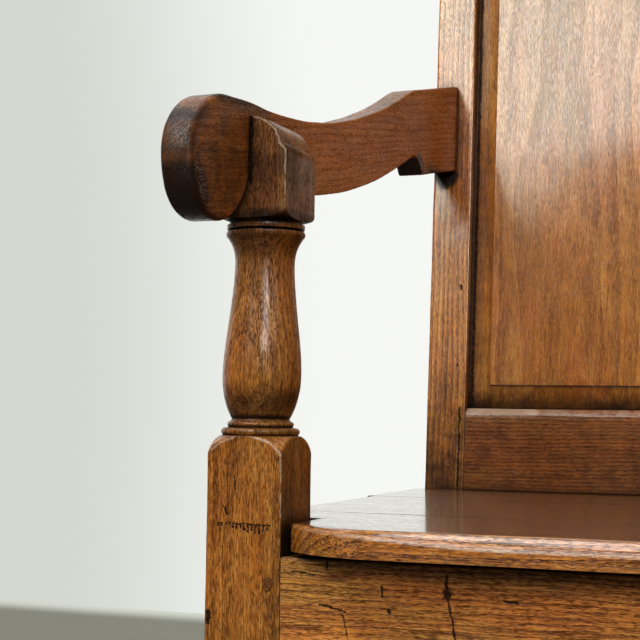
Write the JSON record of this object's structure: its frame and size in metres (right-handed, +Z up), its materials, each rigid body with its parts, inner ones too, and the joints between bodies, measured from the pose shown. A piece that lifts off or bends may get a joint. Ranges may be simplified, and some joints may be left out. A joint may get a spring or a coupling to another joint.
{
  "type": "hall bench",
  "caption": "Long panelled-back hall bench in old oak, with turned front posts, downswept plank arms, a plank seat on a pegged frame, and box stretchers.",
  "frame": {"origin": "on the floor, under the middle of the bench's overall length and depth", "axes": "+X along the seat to the sitter's left (to the right as seen from the front), +Y from the front to the back, +Z up"},
  "size_m": [1.508, 0.6547, 1.06],
  "materials": {
    "oak_post": "old waxed oak, open pores, softened arrises",
    "oak_arm": "dark polished oak, worn smooth by hands",
    "oak_panel": "waxed oak with a soft sheen",
    "oak_back_frame": "waxed oak, dark in the corners",
    "oak_seat": "oak polished by use, nearly mirror-like at a low angle",
    "oak_rail": "waxed oak with knocks, nail holes and cracks",
    "oak_peg": "dark end-grain oak pegs"
  },
  "bodies": {
    "root": {"arm_left": "oak_arm", "arm_right": "oak_arm", "back_muntin_1": "oak_back_frame", "back_muntin_2": "oak_back_frame", "back_muntin_3": "oak_back_frame", "back_panel_1": "oak_panel", "back_panel_2": "oak_panel", "back_panel_3": "oak_panel", "back_panel_4": "oak_panel", "back_post_left": "oak_back_frame", "back_post_right": "oak_back_frame", "back_rail_bottom": "oak_back_frame", "back_rail_top": "oak_back_frame", "front_post_left": "oak_post", "front_post_right": "oak_post", "pegs_arms": "oak_peg", "pegs_back_frame": "oak_peg", "pegs_seat_frame": "oak_peg", "pegs_stretchers": "oak_peg", "seat_bearer_1": "oak_rail", "seat_bearer_2": "oak_rail", "seat_board_back": "oak_seat", "seat_board_front": "oak_seat", "seat_board_middle": "oak_seat", "seat_rail_back": "oak_rail", "seat_rail_front": "oak_rail", "seat_rail_left": "oak_rail", "seat_rail_right": "oak_rail", "stretcher_back": "oak_rail", "stretcher_front": "oak_rail", "stretcher_left": "oak_rail", "stretcher_right": "oak_rail"}
  },
  "joints": []
}
